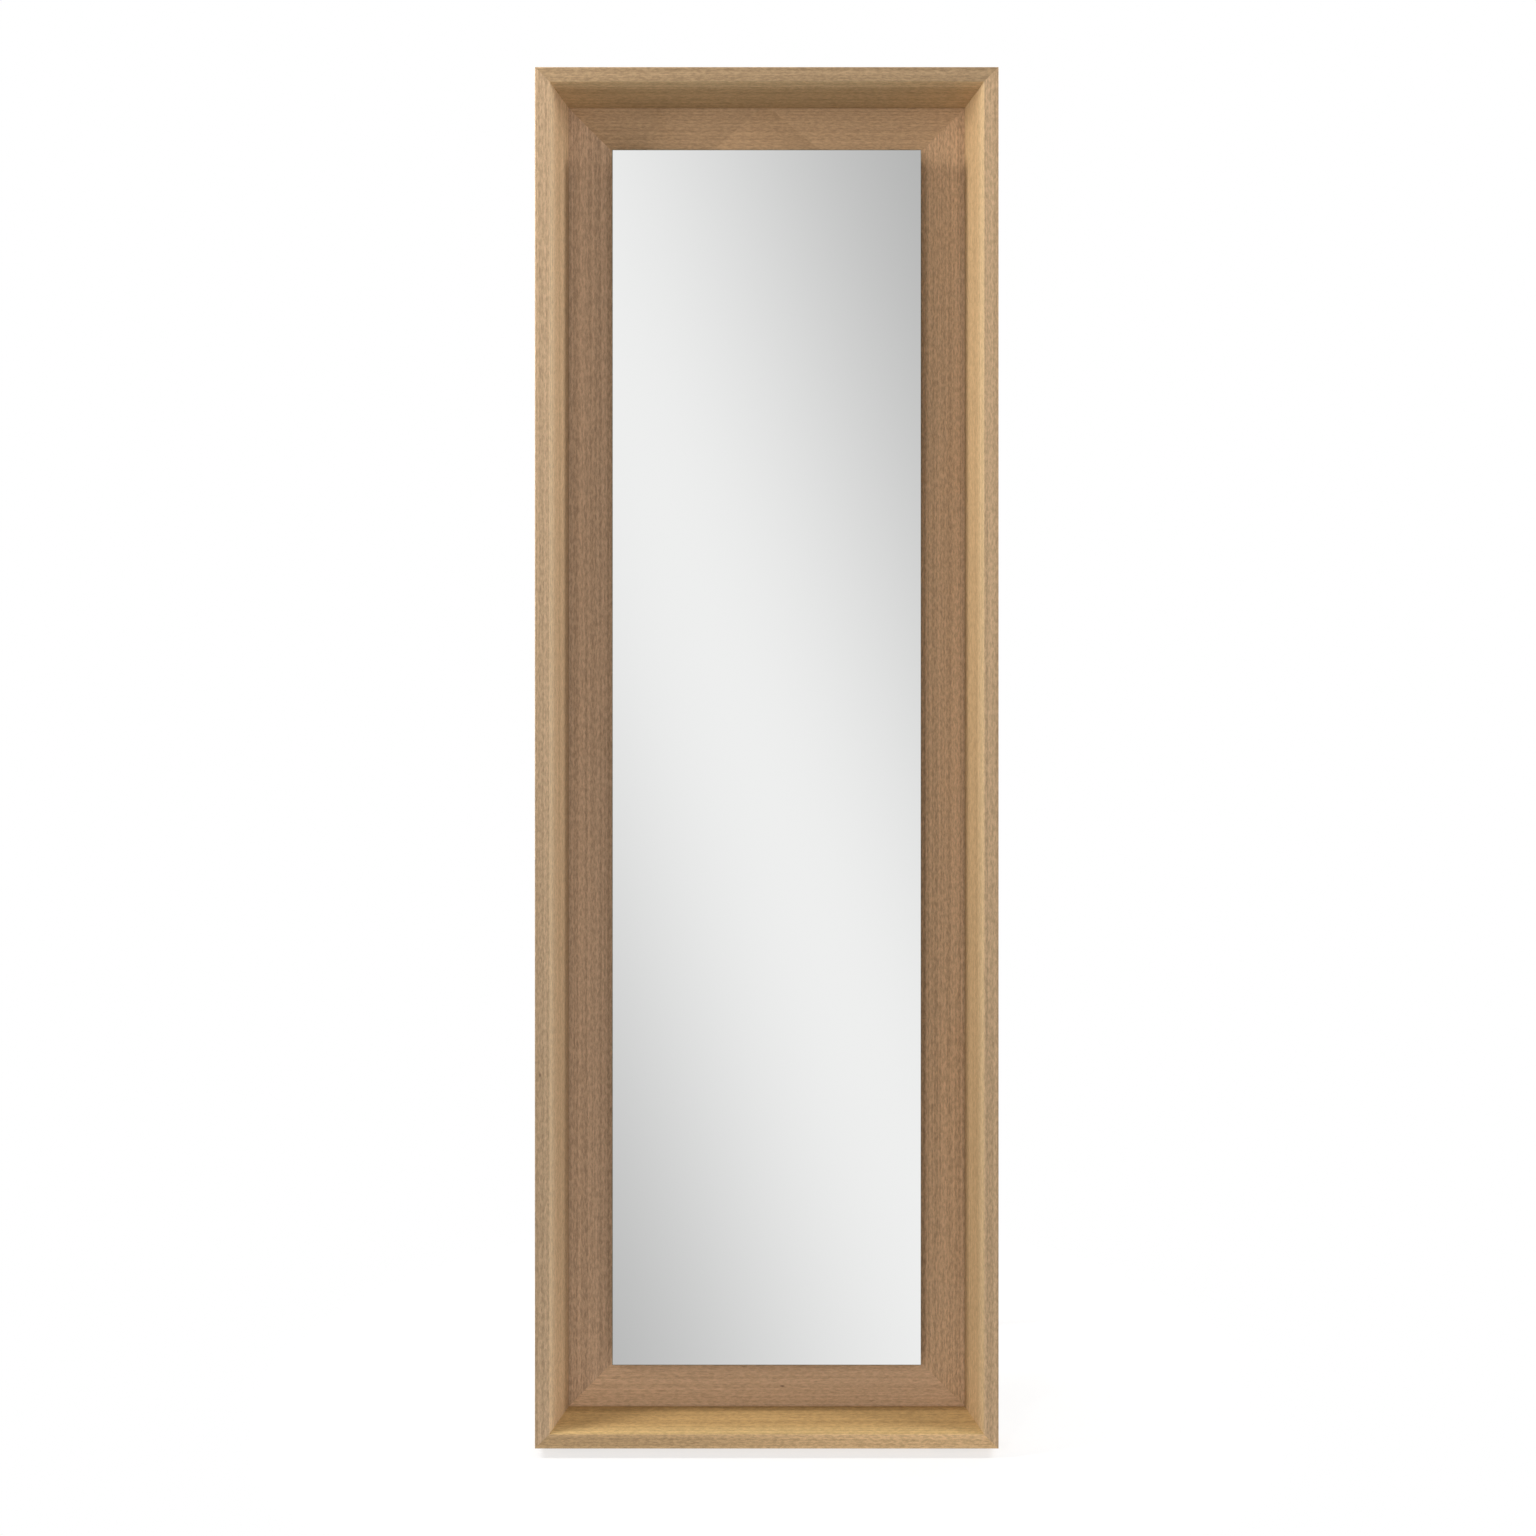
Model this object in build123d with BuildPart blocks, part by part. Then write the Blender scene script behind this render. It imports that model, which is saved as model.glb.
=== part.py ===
from build123d import *

import os
from math import cos, radians, sin, tan

# Floor mirror: a deep mitred oak frame round a raised mirror, leaning back on a hinged easel leg.
# Millimetres and degrees. +Z is up and the glass faces -Y. The origin is on the floor, in the
# middle of the footprint.
# Most pieces are placed in the mirror's own tilted plane: across (+X), up the mirror, and out of
# its front face towards the viewer. Depths behind the front face are positive numbers.

# ---- Driving dimensions ----
frame_width = 614.0
frame_height = 1829.0
frame_depth = 76.0
face_width = 19.2  # flat front face of the frame
recess_depth = 57.0  # front face down to the liner
wall_run = 21.8  # how far the inner wall slopes in on its way down to the liner
frame_back_width = 30.0  # frame outside the rabbet
edge_round = 1.5
lip_round = 1.2
wall_foot_round = 1.2  # leaves a fine shadow line along the liner

liner_width = 100.0
liner_thick = 9.0
rabbet_gap = 1.0  # all round the liner and the back panel
panel_thick = 5.0

glass_width = 413.0
glass_height = 1625.0
glass_thick = 5.0
glass_depth = 33.0  # front face of the frame to the front of the glass
glass_arris = 0.6
tape_thick = 1.5
backer_thick = 6.0
backer_inset = 4.0  # backer inside the glass on every side
tape_width = 25.0
tape_length = 1560.0
tape_pitch = 115.0
tape_count = 4
spacer_width = 20.0

biscuit_length = 50.0  # front to back, across each mitre
biscuit_width = 18.0
biscuit_thick = 4.0
biscuit_inset = 14.0
biscuit_depth = 38.0
glue_gap = 0.1  # round biscuits and tenons

plate_inset = 7.0  # corner plate in from the frame's outside
plate_leg = 50.0
plate_width = 15.0
plate_thick = 2.0
plate_hole_near = 20.0
plate_hole_far = 42.0

# Lines of screws, inset from the frame's outside. Each has a count and a reach from the middle,
# first up the sides and then across the ends.
liner_line = 35.5
panel_line = 38.0
liner_rows = ((5, 715.0), (3, 150.0))
spacer_rows = ((5, 700.0), (2, 100.0))
backer_rows = ((4, 540.0), (2, 60.0))
panel_rows = ((6, 854.0), (2, 90.0))
fixing_across = 292.0  # screws in the frame's back, from the middle
batten_screw_rise = 20.0  # either side of the batten's middle
bracket_screw_rise = 9.0
hanger_screw_rises = (18.0, 32.0)

lean_angle = 8.0  # of the mirror, back from the vertical
spread_angle = 16.0  # between the mirror and the open leg
hinge_height = 1299.0  # of the hinge pin, up the mirror
batten_height = 70.0
batten_thick = 22.0
batten_length = 600.0

leg_width = 532.0
leg_thick = 19.0
leg_stile_width = 38.0
leg_top_gap = 1.5  # under the hinge pin
leg_wood_length = 1288.0  # hinge pin to the stile's lower end
leg_rail_drops = {"leg_rail_top": 36.5, "leg_rail_middle": 720.0, "leg_rail_bottom": 1165.0}
leg_rail_heights = {"leg_rail_top": 70.0, "leg_rail_middle": 50.0, "leg_rail_bottom": 50.0}
tenon_length = 14.0
tenon_thick = 7.0
tenon_shoulder = 8.0
tenon_end_gap = 0.5
wood_round = 2.0
bumper_radius = 5.0
bumper_thick = 2.6
bumper_across = 238.0
bumper_height = 15.0

foot_rear_thick = 3.0  # wedge foot under the frame, at its rear edge
foot_rear_depth = 74.0
foot_front_depth = 36.0
foot_width = 50.0
foot_spacing = 500.0

knuckle_radius = 4.5
leaf_thick = 2.0
leaf_length = 28.0
hinge_width = 76.0
hinge_spacing = 300.0
knuckle_count = 5
knuckle_web = 1.0  # leaf inside each knuckle
knuckle_clearance = 0.5  # leaf to the other leaf's knuckles
leaf_screw_spread = 26.0
leaf_screw_near = 11.0
leaf_screw_far = 20.0
pin_radius = 2.5
pin_head_radius = 4.0
pin_head_thick = 2.0
running_gap = 0.05  # radial, shaft in hole
side_gap = 0.25  # between faces that pass each other

stay_pivot_drop = 640.0  # hinge pin to the arm's pivot, down the leg
stay_stud_drop = 255.0  # hinge pin to the stud, down the mirror
stay_across = 270.5  # inner face of the right arm
stay_thick = 2.5
stay_width = 18.0
stay_slot_width = 9.0
slot_end_gap = 0.15  # stud to the slot's end with the leg open
stay_end = 5.0  # arm beyond the slot, to the middle of its round end
stud_radius = 3.0
stud_head_radius = 6.5
stud_head_thick = 1.3
stud_collar = 3.5  # between the arm and the bracket's ear
rivet_radius = 5.0
pivot_screw_depth = 20.0
washer_radius = 7.0
screw_head_radius = 6.0
screw_head_thick = 2.0
ear_thick = 2.5
bracket_outer = 303.0
bracket_height = 32.0
bracket_reach = 22.0  # of the ear behind the frame's back

ring_wire_radius = 1.5
ring_half_width = 11.0
ring_corner = 3.0
strap_width = 12.0
strap_length = 40.0
strap_thick = 2.0
hanger_height = 1560.0

sink_angle = 82.0
pilot_gap = 0.05  # radial, round a screw
pilot_end = 1.0  # pilot hole beyond the screw's point
recess_span = 1.2  # cross recess, in radii of the head
recess_width = 0.25

# ---- Derived places ----
lean = radians(lean_angle)
back_lean = radians(spread_angle - lean_angle)  # of the open leg, forward from the vertical
across_half = frame_width / 2
back_of_batten = frame_depth + batten_thick
pin_depth = back_of_batten + knuckle_radius
leg_middle = knuckle_radius + leg_thick / 2  # leg's mid thickness, in front of the pin

front_edge_z = foot_rear_thick * cos(lean) + foot_rear_depth * sin(lean)
pin_z = front_edge_z + hinge_height * cos(lean) - pin_depth * sin(lean)
pin_y = hinge_height * sin(lean) + pin_depth * cos(lean)  # behind the frame's front lower edge
footprint_depth = pin_y + (pin_z - knuckle_radius * sin(back_lean)) * tan(back_lean)
footprint_depth -= knuckle_radius * cos(back_lean)

mirror_face = Plane(
    origin=(0, -footprint_depth / 2, front_edge_z),
    x_dir=(1, 0, 0),
    z_dir=(0, -cos(lean), sin(lean)),
)
pin_centre = mirror_face.from_local_coords((0, hinge_height, -pin_depth))
leg_face = Plane(
    origin=pin_centre,
    x_dir=(1, 0, 0),
    z_dir=(0, -cos(back_lean), -sin(back_lean)),
)


def rear(depth):
    """Plane facing out of the mirror's back, at a depth behind its front face; x is mirrored."""
    centre = mirror_face.from_local_coords((0, 0, -depth))
    return Plane(origin=centre, x_dir=-mirror_face.x_dir, z_dir=-mirror_face.z_dir)


def edge_plane(across, up, x_dir):
    """Plane on an outer edge of the front face: x along the edge, y inward, z out of the front."""
    origin = mirror_face.from_local_coords((across, up, 0))
    return Plane(origin=origin, x_dir=x_dir, z_dir=mirror_face.z_dir)


SIDES = {
    "bottom": (edge_plane(0, 0, mirror_face.x_dir), frame_width),
    "right": (edge_plane(across_half, frame_height / 2, mirror_face.y_dir), frame_height),
    "top": (edge_plane(0, frame_height, -mirror_face.x_dir), frame_width),
    "left": (edge_plane(-across_half, frame_height / 2, -mirror_face.y_dir), frame_height),
}


def save(piece, node):
    piece.part.label = node
    export_step(piece.part, f"parts/{node}.step")


def evenly(count, reach):
    """Count places from -reach to +reach."""
    return [reach * (2 * i / (count - 1) - 1) for i in range(count)]


# ---- Screws ----
class Screw:
    """A countersunk wood screw: its sizes, and the solid with its head at z = 0, pointing down."""

    def __init__(self, shank_radius, head_radius, length):
        self.shank_radius = shank_radius
        self.head_radius = head_radius
        self.length = length
        head_height = (head_radius - shank_radius) / tan(radians(sink_angle / 2))
        tip = 2 * shank_radius
        down = (Align.CENTER, Align.CENTER, Align.MAX)
        with BuildPart() as screw:
            Cone(shank_radius, head_radius, head_height, align=down)
            Cylinder(shank_radius, length - tip, align=down)
            with Locations((0, 0, tip - length)):
                Cone(shank_radius / 4, shank_radius, tip, align=down)
            for turn in (0, 90):
                Box(
                    head_radius * recess_span,
                    head_radius * recess_width,
                    head_height * recess_span,
                    rotation=(0, 0, turn),
                    mode=Mode.SUBTRACT,
                )
        self.solid = screw.part


def drill(face, points, screw, depth=None):
    """Pilot holes for a screw, from a face inward."""
    with Locations(face):
        with Locations(*points):
            Hole(screw.shank_radius + pilot_gap, depth or screw.length + pilot_end)


def countersink(face, points, screw, depth):
    """Clearance holes with countersinks, from a face inward through a depth."""
    with Locations(face):
        with Locations(*points):
            CounterSinkHole(
                screw.shank_radius + pilot_gap,
                screw.head_radius + pilot_gap,
                depth,
                sink_angle,
            )


def screw_set(face, points, screw, node):
    with BuildPart(face) as screws:
        with Locations(*points):
            add(screw.solid)
    save(screws, node)


fine_screw = Screw(shank_radius=1.6, head_radius=3.2, length=14)
liner_screw = Screw(shank_radius=1.6, head_radius=3.2, length=16)
panel_screw = Screw(shank_radius=1.6, head_radius=3.2, length=12)
batten_screw = Screw(shank_radius=2.25, head_radius=4.4, length=50)


# ---- Mitred frame, liner and spacers ----
def mitred(side, outline, roundings=()):
    """One side of a mitred frame, from an outline of (inward, outward) points."""
    edge, length = SIDES[side]
    with BuildPart() as run:
        with BuildSketch(Plane(edge.origin, x_dir=edge.y_dir, z_dir=edge.x_dir)) as section:
            with BuildLine():
                Polyline(*outline, close=True)
            make_face()
            for corner, radius in roundings:
                fillet(section.vertices().sort_by_distance(corner)[0], radius)
        extrude(amount=length / 2, both=True)
        for end in (-1, 1):
            corner = edge.from_local_coords((end * length / 2, 0, 0))
            mitre = Plane(corner, z_dir=edge.x_dir * end + edge.y_dir)
            split(bisect_by=mitre, keep=Keep.BOTTOM)
    return run.part


def board(inset, width, depth, thick):
    """Outline of a flat board: how far in, how wide, how deep behind the front, how thick."""
    return [
        (inset, -depth),
        (inset + width, -depth),
        (inset + width, -depth - thick),
        (inset, -depth - thick),
    ]


def biscuit_plane(side, end):
    """Middle of the biscuit at one end of a side: x front to back, z across the mitre."""
    edge, length = SIDES[side]
    along = end * (length / 2 - biscuit_inset)
    centre = edge.from_local_coords((along, biscuit_inset, -biscuit_depth))
    return Plane(centre, x_dir=edge.z_dir, z_dir=edge.y_dir - edge.x_dir * end)


# Corners of the frame: side, and bottom or top.
corners = [(sx, sy) for sx in (-1, 1) for sy in (0, 1)]


def from_corner(corner, along_x, along_y):
    """A point on the back, measured in from one corner of the frame."""
    sx, top = corner
    up = frame_height - along_y if top else along_y
    return (sx * (across_half - along_x), up)


plate_line = plate_inset + plate_width / 2
plate_points = [
    from_corner(corner, *place)
    for corner in corners
    for reach in (plate_hole_near, plate_hole_far)
    for place in ((plate_inset + reach, plate_line), (plate_line, plate_inset + reach))
]

liner_inset = frame_back_width + rabbet_gap
spacer_inset = liner_inset + liner_width - spacer_width
spacer_line = spacer_inset + spacer_width / 2


def ring_points(line, rows):
    """Points on a rectangle inset from the frame: one row up each side, one across each end."""
    up_sides, across_ends = [evenly(*row) for row in rows]
    middle = frame_height / 2
    x_reach = across_half - line
    y_reach = middle - line
    sides = [(sx * x_reach, middle + up) for sx in (-1, 1) for up in up_sides]
    ends = [(across, middle + sy * y_reach) for sy in (-1, 1) for across in across_ends]
    return sides + ends


# Screws that hold the liner in the frame, the spacers on the liner, the backer on the spacers and
# the back panel on the liner.
liner_points = ring_points(liner_line, liner_rows)
spacer_points = ring_points(spacer_line, spacer_rows)
backer_points = ring_points(spacer_line, backer_rows)
panel_points = ring_points(panel_line, panel_rows)


def fixing_points(height, rises):
    """Screws in the frame's back on both sides, at places above a height up the mirror."""
    return [(sx * fixing_across, height + rise) for sx in (-1, 1) for rise in rises]


# Holes in the frame's back for the hinge batten, the stay brackets and the hangers.
batten_middle = hinge_height + leg_top_gap + batten_height / 2
batten_points = fixing_points(batten_middle, (-batten_screw_rise, batten_screw_rise))
stud_height = hinge_height - stay_stud_drop
bracket_points = fixing_points(stud_height, (-bracket_screw_rise, bracket_screw_rise))
hanger_points = fixing_points(hanger_height, hanger_screw_rises)

os.makedirs("parts", exist_ok=True)

back = rear(frame_depth)
liner_back = rear(recess_depth + liner_thick)
panel_back = rear(recess_depth + liner_thick + panel_thick)
batten_back = rear(back_of_batten)
frame_outline = [
    (0, 0),
    (face_width, 0),
    (face_width + wall_run, -recess_depth),
    (frame_back_width, -recess_depth),
    (frame_back_width, -frame_depth),
    (0, -frame_depth),
]
frame_roundings = [
    ((0, 0), edge_round),
    ((face_width, 0), lip_round),
    ((face_width + wall_run, -recess_depth), wall_foot_round),
    ((0, -frame_depth), edge_round),
]
frame_nodes = {
    "bottom": "frame_rail_bottom",
    "right": "frame_stile_right",
    "top": "frame_rail_top",
    "left": "frame_stile_left",
}
for side, node in frame_nodes.items():
    blank = mitred(side, frame_outline, frame_roundings)
    with BuildPart() as frame_piece:
        add(blank)
        for end in (-1, 1):
            with BuildSketch(biscuit_plane(side, end)):
                SlotOverall(biscuit_length + 2 * glue_gap, biscuit_width + 2 * glue_gap)
            extrude(amount=biscuit_thick / 2 + glue_gap, both=True, mode=Mode.SUBTRACT)
        drill(back, plate_points, fine_screw)
        drill(liner_back, liner_points, liner_screw)
        drill(batten_back, batten_points, batten_screw)
        drill(back, bracket_points, fine_screw)
        drill(back, hanger_points, fine_screw)
    save(frame_piece, node)

with BuildPart() as biscuits:
    for side in SIDES:
        with BuildSketch(biscuit_plane(side, 1)):
            SlotOverall(biscuit_length, biscuit_width)
        extrude(amount=biscuit_thick / 2, both=True)
save(biscuits, "mitre_biscuits")

with BuildPart() as corner_plates:
    with BuildSketch(back):
        for corner in corners:
            far = plate_inset + plate_leg
            near = plate_inset + plate_width
            outline = [
                (plate_inset, plate_inset),
                (far, plate_inset),
                (far, near),
                (near, near),
                (near, far),
                (plate_inset, far),
            ]
            with BuildLine():
                Polyline(*[from_corner(corner, *point) for point in outline], close=True)
            make_face()
    extrude(amount=plate_thick)
    countersink(back.offset(plate_thick), plate_points, fine_screw, plate_thick)
save(corner_plates, "corner_plates")
screw_set(back.offset(plate_thick), plate_points, fine_screw, "corner_plate_screws")

liner_outline = board(liner_inset, liner_width, recess_depth, liner_thick)
for side in SIDES:
    blank = mitred(side, liner_outline)
    with BuildPart() as liner:
        add(blank)
        countersink(liner_back, liner_points + spacer_points, liner_screw, liner_thick)
        drill(liner_back, panel_points, panel_screw, panel_screw.length - panel_thick + pilot_end)
    save(liner, f"liner_{side}")
screw_set(liner_back, liner_points, liner_screw, "liner_screws")
screw_set(liner_back, spacer_points, liner_screw, "spacer_screws")

# ---- Raised mirror: spacers, backer, tape and glass ----
backer_depth = glass_depth + glass_thick + tape_thick
spacer_depth = backer_depth + backer_thick
spacer_thick = recess_depth - spacer_depth
spacer_outline = board(spacer_inset, spacer_width, spacer_depth, spacer_thick)
backer_front = mirror_face.offset(-backer_depth)
for side in SIDES:
    blank = mitred(side, spacer_outline)
    with BuildPart() as spacer:
        add(blank)
        drill(liner_back, spacer_points, liner_screw)
        drill(backer_front, backer_points, fine_screw)
    save(spacer, f"spacer_{side}")

with BuildPart() as backer:
    with BuildSketch(backer_front):
        with Locations((0, frame_height / 2)):
            Rectangle(glass_width - 2 * backer_inset, glass_height - 2 * backer_inset)
    extrude(amount=-backer_thick)
    countersink(backer_front, backer_points, fine_screw, backer_thick)
save(backer, "mirror_backer")
screw_set(backer_front, backer_points, fine_screw, "backer_screws")

with BuildPart() as tape:
    with BuildSketch(backer_front):
        with Locations((0, frame_height / 2)):
            with GridLocations(tape_pitch, 0, tape_count, 1):
                Rectangle(tape_width, tape_length)
    extrude(amount=tape_thick)
save(tape, "mounting_tape")

with BuildPart() as glass:
    with BuildSketch(mirror_face.offset(-glass_depth)):
        with Locations((0, frame_height / 2)):
            Rectangle(glass_width, glass_height)
    extrude(amount=-glass_thick)
    faces = glass.faces().filter_by(Axis((0, 0, 0), mirror_face.z_dir))
    chamfer(faces.edges(), glass_arris)
save(glass, "mirror_glass")

with BuildPart() as panel:
    with BuildSketch(panel_back):
        with Locations((0, frame_height / 2)):
            Rectangle(frame_width - 2 * liner_inset, frame_height - 2 * liner_inset)
    extrude(amount=-panel_thick)
    countersink(panel_back, panel_points, panel_screw, panel_thick)
save(panel, "back_panel")
screw_set(panel_back, panel_points, panel_screw, "back_panel_screws")

# ---- Hinge batten ----
batten_section = Plane(
    mirror_face.from_local_coords((0, batten_middle, -frame_depth - batten_thick / 2)),
    x_dir=mirror_face.y_dir,
    z_dir=mirror_face.x_dir,
)
leaf_points = [
    (-leaf_screw_spread, leaf_screw_near),
    (0, leaf_screw_far),
    (leaf_screw_spread, leaf_screw_near),
]
hinge_centres = [-hinge_spacing / 2, hinge_spacing / 2]


def leaf_plane(centre, on_leg):
    """A hinge leaf's plane, on the pin: x along the pin, y along the leaf, z out of the wood."""
    wood = leg_face if on_leg else mirror_face
    across = 1 if on_leg else -1
    origin = pin_centre + mirror_face.x_dir * centre
    return Plane(origin, x_dir=mirror_face.x_dir * across, z_dir=-wood.z_dir)


with BuildPart() as batten:
    with BuildSketch(batten_section):
        RectangleRounded(batten_height, batten_thick, wood_round)
    extrude(amount=batten_length / 2, both=True)
    countersink(batten_back, batten_points, batten_screw, batten_thick)
    for centre in hinge_centres:
        drill(leaf_plane(centre, False).offset(-knuckle_radius), leaf_points, fine_screw)
save(batten, "hinge_batten")
screw_set(batten_back, batten_points, batten_screw, "batten_screws")

# ---- Easel leg: two stiles and three rails with stub tenons ----
leg_half = leg_width / 2
leg_inner_half = leg_half - leg_stile_width
stile_length = leg_wood_length - leg_top_gap


def cross_section(drop, across=0):
    """Plane across the leg's thickness, on its mid thickness, looking along +X."""
    origin = leg_face.from_local_coords((across, -drop, leg_middle))
    return Plane(origin, x_dir=leg_face.y_dir, z_dir=leg_face.x_dir)


for side, sign in (("left", -1), ("right", 1)):
    stile_across = sign * (leg_half - leg_stile_width / 2)
    top_centre = leg_face.from_local_coords((stile_across, -leg_top_gap, leg_middle))
    pivot_place = leg_face.from_local_coords((sign * leg_half, -stay_pivot_drop, leg_middle))
    with BuildPart() as stile:
        with BuildSketch(Plane(top_centre, x_dir=leg_face.x_dir, z_dir=-leg_face.y_dir)):
            RectangleRounded(leg_stile_width, leg_thick, wood_round)
        extrude(amount=stile_length)
        for node, drop in leg_rail_drops.items():
            height = leg_rail_heights[node] - 2 * tenon_shoulder
            with BuildSketch(cross_section(drop, sign * leg_inner_half)):
                Rectangle(height + 2 * glue_gap, tenon_thick + 2 * glue_gap)
            extrude(amount=sign * (tenon_length + tenon_end_gap), mode=Mode.SUBTRACT)
        with Locations(Plane(pivot_place, x_dir=leg_face.y_dir, z_dir=leg_face.x_dir * sign)):
            Hole(stud_radius + pilot_gap, pivot_screw_depth + pilot_end)
    save(stile, f"leg_stile_{side}")

for node, drop in leg_rail_drops.items():
    height = leg_rail_heights[node]
    with BuildPart() as rail:
        with BuildSketch(cross_section(drop)):
            RectangleRounded(height, leg_thick, wood_round)
        extrude(amount=leg_inner_half, both=True)
        with BuildSketch(cross_section(drop)):
            Rectangle(height - 2 * tenon_shoulder, tenon_thick)
        extrude(amount=leg_inner_half + tenon_length, both=True)
        if node == "leg_rail_top":
            for centre in hinge_centres:
                drill(leaf_plane(centre, True).offset(-knuckle_radius), leaf_points, fine_screw)
    save(rail, node)

# ---- Rubber feet, cut level with the floor ----
shoe_blank = 20.0
for side, sign in (("left", -1), ("right", 1)):
    stile_across = sign * (leg_half - leg_stile_width / 2)
    end_centre = leg_face.from_local_coords((stile_across, -leg_wood_length, leg_middle))
    with BuildPart() as leg_foot:
        with BuildSketch(Plane(end_centre, x_dir=leg_face.x_dir, z_dir=-leg_face.y_dir)):
            RectangleRounded(leg_stile_width, leg_thick, wood_round)
        extrude(amount=shoe_blank)
        split(bisect_by=Plane.XY, keep=Keep.TOP)
    save(leg_foot, f"leg_foot_{side}")

    foot_middle = (foot_rear_depth + foot_front_depth) / 2
    under = mirror_face.from_local_coords((sign * foot_spacing / 2, 0, -foot_middle))
    with BuildPart() as frame_foot:
        with BuildSketch(Plane(under, x_dir=mirror_face.x_dir, z_dir=-mirror_face.y_dir)):
            RectangleRounded(foot_width, foot_rear_depth - foot_front_depth, wood_round)
        extrude(amount=shoe_blank)
        split(bisect_by=Plane.XY, keep=Keep.TOP)
    save(frame_foot, f"frame_foot_{side}")

# Soft dots that the folded leg rests on.
with BuildPart(back) as bumpers:
    with Locations((-bumper_across, bumper_height), (bumper_across, bumper_height)):
        Cylinder(bumper_radius, bumper_thick, align=(Align.CENTER, Align.CENTER, Align.MIN))
save(bumpers, "leg_bumpers")

# ---- Butt hinges ----
knuckle_pitch = hinge_width / knuckle_count
leaf_start = knuckle_radius + knuckle_clearance


def knuckle_section(plane, along=0):
    """Plane across the pin at a place along it: x along the leaf, y out of the wood."""
    origin = plane.from_local_coords((along, 0, 0))
    return Plane(origin, x_dir=plane.y_dir, z_dir=plane.x_dir)


def hinge_leaf(plane, numbers, node):
    corner = (Align.MIN, Align.MIN)
    with BuildPart() as leaf:
        with BuildSketch(knuckle_section(plane)):
            with Locations((leaf_start, -knuckle_radius)):
                Rectangle(leaf_length - leaf_start, leaf_thick, align=corner)
        extrude(amount=hinge_width / 2, both=True)
        for number in numbers:
            along = (number - (knuckle_count - 1) / 2) * knuckle_pitch
            with BuildSketch(knuckle_section(plane, along)):
                Circle(knuckle_radius)
                with Locations((0, -knuckle_radius)):
                    Rectangle(leaf_start + knuckle_web, leaf_thick, align=corner)
            extrude(amount=(knuckle_pitch - side_gap) / 2, both=True)
        with BuildSketch(knuckle_section(plane)):
            Circle(pin_radius + running_gap)
        extrude(amount=hinge_width, both=True, mode=Mode.SUBTRACT)
        outside = plane.offset(leaf_thick - knuckle_radius)
        countersink(outside, leaf_points, fine_screw, leaf_thick)
    save(leaf, node)


for name, centre in zip(("left", "right"), hinge_centres):
    hinge_leaf(leaf_plane(centre, False), range(0, knuckle_count, 2), f"hinge_{name}_frame_leaf")
    hinge_leaf(leaf_plane(centre, True), range(1, knuckle_count, 2), f"hinge_{name}_leg_leaf")

with BuildPart() as pins:
    for centre in hinge_centres:
        with BuildSketch(knuckle_section(leaf_plane(centre, False))):
            Circle(pin_radius)
        extrude(amount=hinge_width / 2 + pin_head_thick, both=True)
        for end in (-1, 1):
            with BuildSketch(knuckle_section(leaf_plane(centre, False), end * hinge_width / 2)):
                Circle(pin_head_radius)
            extrude(amount=end * pin_head_thick)
save(pins, "hinge_pins")

for on_leg, node in ((False, "hinge_screws_frame"), (True, "hinge_screws_leg")):
    with BuildPart() as leaf_screws:
        for centre in hinge_centres:
            outside = leaf_plane(centre, on_leg).offset(leaf_thick - knuckle_radius)
            with Locations(outside):
                with Locations(*leaf_points):
                    add(fine_screw.solid)
    save(leaf_screws, node)

# ---- Slotted stays: arm pivoted on the leg, its slot riding on a stud on the frame ----
stud_depth = pin_depth - leg_middle
ear_across = stay_across + stay_thick + stud_collar


def turned(centre, sign, across):
    """Plane facing outward along the pivot's axis, at a distance from the middle of the mirror."""
    origin = Vector(sign * across, centre.Y, centre.Z)
    return Plane(origin, x_dir=leg_face.y_dir, z_dir=mirror_face.x_dir * sign)


arm_pivot = leg_face.from_local_coords((0, -stay_pivot_drop, leg_middle))
stud_place = mirror_face.from_local_coords((0, stud_height, -stud_depth))
arm_line = stud_place - arm_pivot
slot_far = arm_line.length - (stay_slot_width / 2 - stud_radius) + slot_end_gap
slot_near = stay_pivot_drop - stay_stud_drop
arm_length = slot_far + stay_slot_width / 2 + stay_end

for side, sign in (("left", -1), ("right", 1)):
    arm_origin = Vector(sign * stay_across, arm_pivot.Y, arm_pivot.Z)
    with BuildPart() as arm:
        with BuildSketch(Plane(arm_origin, x_dir=arm_line, z_dir=mirror_face.x_dir * sign)):
            with Locations((arm_length / 2, 0)):
                SlotCenterToCenter(arm_length, stay_width)
            Circle(stud_radius + running_gap, mode=Mode.SUBTRACT)
            with Locations(((slot_near + slot_far) / 2, 0)):
                SlotCenterToCenter(slot_far - slot_near, stay_slot_width, mode=Mode.SUBTRACT)
        extrude(amount=stay_thick)
    save(arm, f"stay_arm_{side}")

    low = stud_height - bracket_height / 2
    with BuildPart() as bracket:
        base = Plane(
            mirror_face.from_local_coords((0, low, -frame_depth)),
            x_dir=mirror_face.x_dir * sign,
            z_dir=mirror_face.y_dir * sign,
        )
        with BuildSketch(base):
            with BuildLine():
                Polyline(
                    (ear_across, 0),
                    (bracket_outer, 0),
                    (bracket_outer, plate_thick),
                    (ear_across + ear_thick, plate_thick),
                    (ear_across + ear_thick, bracket_reach),
                    (ear_across, bracket_reach),
                    close=True,
                )
            make_face()
        extrude(amount=sign * bracket_height)
        with Locations(turned(stud_place, sign, ear_across + ear_thick)):
            Hole(stud_radius + pilot_gap, 2 * ear_thick)
        countersink(back.offset(plate_thick), bracket_points, fine_screw, plate_thick)
    save(bracket, f"stay_bracket_{side}")
screw_set(back.offset(plate_thick), bracket_points, fine_screw, "stay_bracket_screws")

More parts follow.
